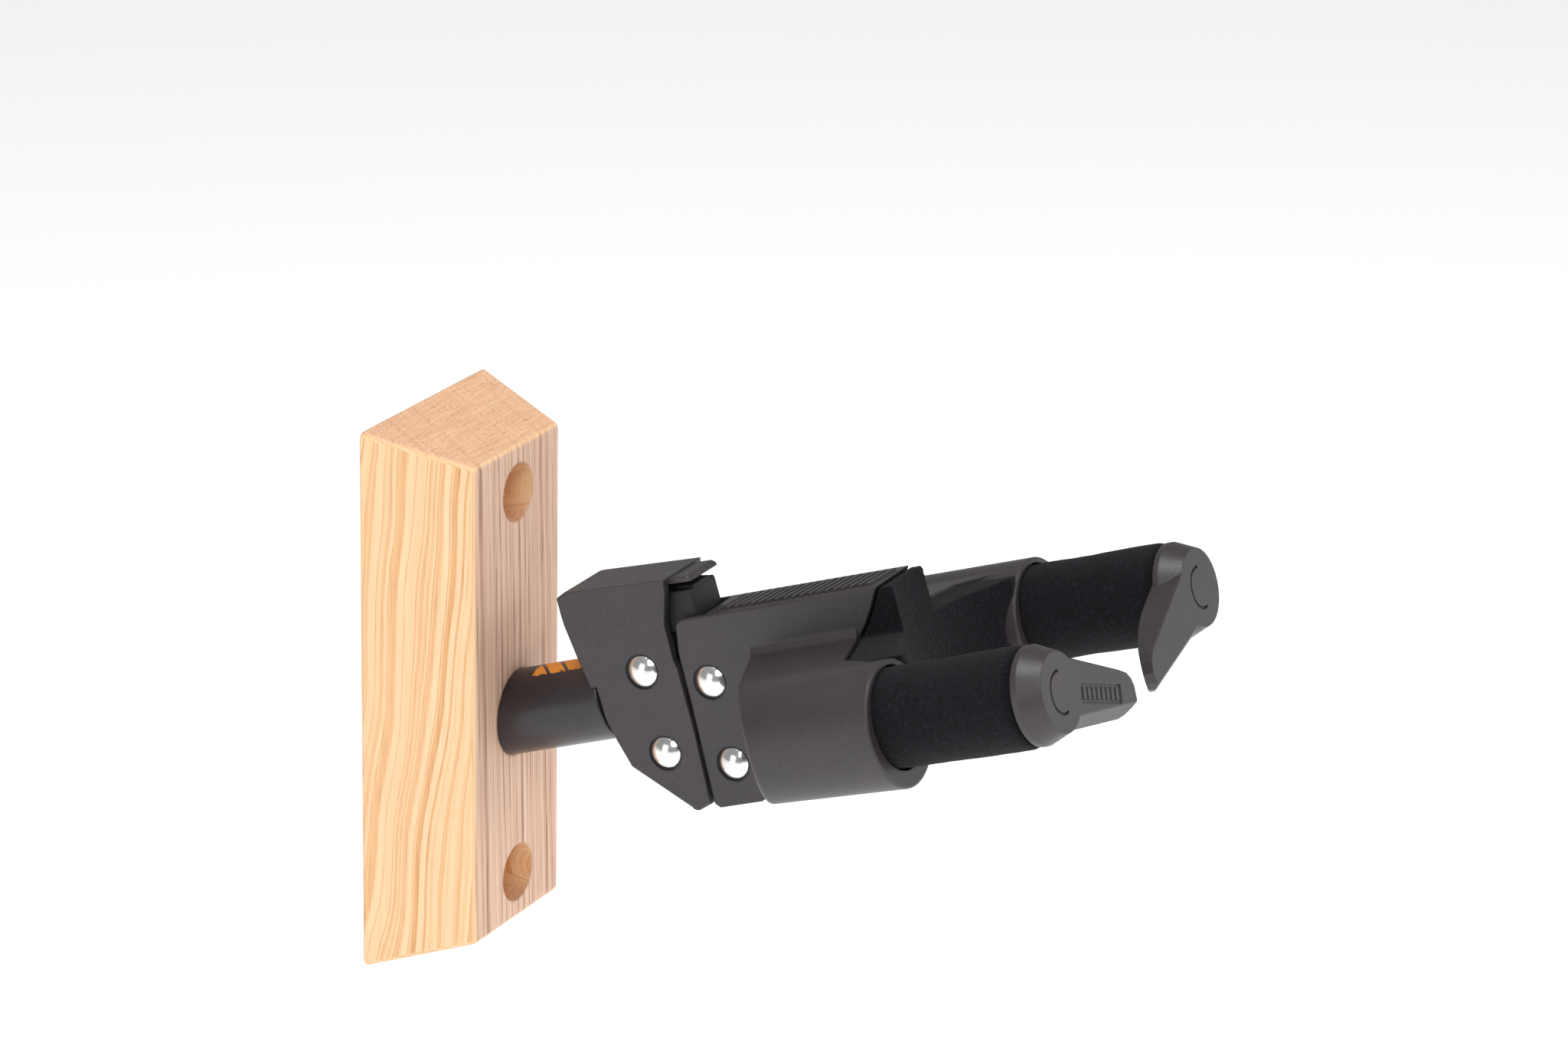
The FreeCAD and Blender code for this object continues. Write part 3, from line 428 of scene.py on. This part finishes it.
def revolve(name, prof, b, mat, seg=96, wobble=0.0, seed=0.0):
    """prof: list of (a, r) closed round the axis of an arm; returns a mesh object."""
    bm = bmesh.new()
    rings = []
    for (a, r) in prof:
        ring = []
        for i in range(seg):
            t = 2 * math.pi * i / seg
            rr = r
            if wobble:
                rr += wobble * noise.noise(Vector((math.cos(t) * 1.6 + seed, math.sin(t) * 1.6, a * 130)))
                rr += wobble * 0.5 * noise.noise(Vector((math.cos(t) * 5 + seed, math.sin(t) * 5, a * 420)))
            ring.append(bm.verts.new(H(a, b + rr * math.cos(t), ARM_C + rr * math.sin(t))))
        rings.append(ring)
    n = len(rings)
    for j in range(n):
        r0, r1 = rings[j], rings[(j + 1) % n]
        for i in range(seg):
            bm.faces.new((r0[i], r0[(i + 1) % seg], r1[(i + 1) % seg], r1[i]))
    bmesh.ops.recalc_face_normals(bm, faces=bm.faces)
    return new_mesh(name, bm, mat)


# ---------------------------------------------------------------- foam sleeves
def sleeve(side, sg):
    R, ri = 0.01068, 0.00603
    a0, a1 = 0.1017, 0.14435
    prof = []
    N = 64
    for i in range(N + 1):
        u = i / N
        a = a0 + 0.0012 + (a1 - a0 - 0.0024) * u
        r = R - 0.00022 * math.exp(-((a - 0.1133) / 0.0022) ** 2) + 0.00008 * math.sin(u * 9.0)
        prof.append((a, r - 0.00005))
    for i in range(1, 9):
        t = math.pi / 2 * i / 8
        prof.append((a1 - 0.0012 + 0.0012 * math.sin(t), R - 0.00005 - 0.0012 + 0.0012 * math.cos(t)))
    prof += [(a1, ri + 0.0008), (a1 - 0.0006, ri), (a0 + 0.0006, ri), (a0, ri + 0.0008)]
    for i in range(8):
        t = math.pi / 2 * (1 - i / 8)
        prof.append((a0 + 0.0012 - 0.0012 * math.sin(t), R - 0.00005 - 0.0012 + 0.0012 * math.cos(t)))
    ob = revolve(side + "_foam", prof, sg * ARM_B, M["black_foam"], 128, 0.00010, 3.0 + sg)
    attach(ob, "yoke")
    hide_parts(side + "_foam_sleeve")
    return ob


for side, sg in (("left", -1), ("right", 1)):
    sleeve(side, sg)


# ---------------------------------------------------------------- saddle pad
def soft_pad():
    src = frame["nodes"]["saddle_pad"]
    me = src.data.copy()
    ob = bpy.data.objects.new("soft_saddle_pad", me)
    bpy.context.scene.collection.objects.link(ob)
    m = ob.modifiers.new("r", "REMESH")
    m.mode = "VOXEL"
    m.voxel_size = 0.0005
    sm = ob.modifiers.new("s", "SMOOTH")
    sm.factor = 0.5
    sm.iterations = 3
    apply_mods(ob)
    me = ob.data
    for v in me.vertices:
        n = noise.noise(v.co * 260) * 0.00007 + noise.noise(v.co * 900) * 0.00003
        v.co += v.normal * n
    me.update()
    me.materials.clear()
    me.materials.append(M["black_foam"])
    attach(ob, "yoke")
    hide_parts("saddle_pad")
    return ob


soft_pad()

# ---------------------------------------------------------------- camera
cam = bpy.data.cameras.new("camera")
cam.sensor_width = 36.0
cam.lens = 7500.0 / 2048.0 * 36.0
cam.clip_start = 0.05
cam.clip_end = 60
co = bpy.data.objects.new("camera", cam)
R = [[0.4467713373883718, -0.8945059232699973, 0.01595384978917036],
     [-0.2805239972659933, -0.1569996313184132, -0.9469199558166421],
     [0.8495302578755596, 0.41858125734529983, -0.32107331242741644]]
co.matrix_world = Matrix(((R[0][0], -R[1][0], -R[2][0], -1.034107),
                          (R[0][1], -R[1][1], -R[2][1], -0.597767),
                          (R[0][2], -R[1][2], -R[2][2], 0.438984),
                          (0, 0, 0, 1)))
bpy.context.scene.collection.objects.link(co)
bpy.context.scene.camera = co

# ---------------------------------------------------------------- stage and light
bm = bmesh.new()
bmesh.ops.create_grid(bm, x_segments=2, y_segments=2, size=6.0)
for v in bm.verts:
    v.co.z = -0.16
fm = Nodes("floor")
fn = fm.noise(fm.co, 3.0, 3.0, 0.5)
fm.put(fm.b.inputs["Base Color"], fm.mix(fn, (0.90, 0.90, 0.90), (0.93, 0.93, 0.925)))
fm.b.inputs["Roughness"].default_value = 0.8
fm.b.inputs["Emission Color"].default_value = (1, 1, 1, 1)
fm.b.inputs["Emission Strength"].default_value = 0.36
floor = new_mesh("floor", bm, fm.m, smooth=False)

world = bpy.data.worlds.new("world")
bpy.context.scene.world = world
world.use_nodes = True
wt = world.node_tree
wb = wt.nodes["Background"]
wb.inputs[0].default_value = (1, 1, 1, 1)
lp = wt.nodes.new("ShaderNodeLightPath")
mr = wt.nodes.new("ShaderNodeMapRange")
mr.inputs[3].default_value = 0.33
mr.inputs[4].default_value = 1.0
wt.links.new(lp.outputs["Is Camera Ray"], mr.inputs[0])
wt.links.new(mr.outputs[0], wb.inputs[1])


def area(name, loc, target, size, power, col=(1, 1, 1)):
    L = bpy.data.lights.new(name, "AREA")
    L.shape = "RECTANGLE"
    L.size, L.size_y = size
    L.energy = power
    L.color = col
    o = bpy.data.objects.new(name, L)
    o.location = loc
    d = Vector(target) - Vector(loc)
    o.rotation_euler = d.to_track_quat("-Z", "Y").to_euler()
    bpy.context.scene.collection.objects.link(o)
    return o


area("key", (-1.3, -0.9, 1.3), (0, -0.08, 0), (0.9, 0.9), 10)
area("overhead", (-0.25, 0.1, 1.6), (0, -0.1, 0), (0.8, 0.8), 13)
area("left_fill", (-1.6, 0.35, 0.35), (0, -0.05, 0), (0.8, 1.0), 3.4)
area("front_fill", (0.7, -1.6, 0.6), (0, -0.08, 0), (1.0, 1.0), 10)
area("under", (-0.5, -0.7, -0.12), (0, -0.1, 0.0), (0.6, 0.3), 0.3)

sc = bpy.context.scene
sc.view_settings.view_transform = "Standard"
sc.view_settings.look = "None"
sc.view_settings.exposure = 0.0
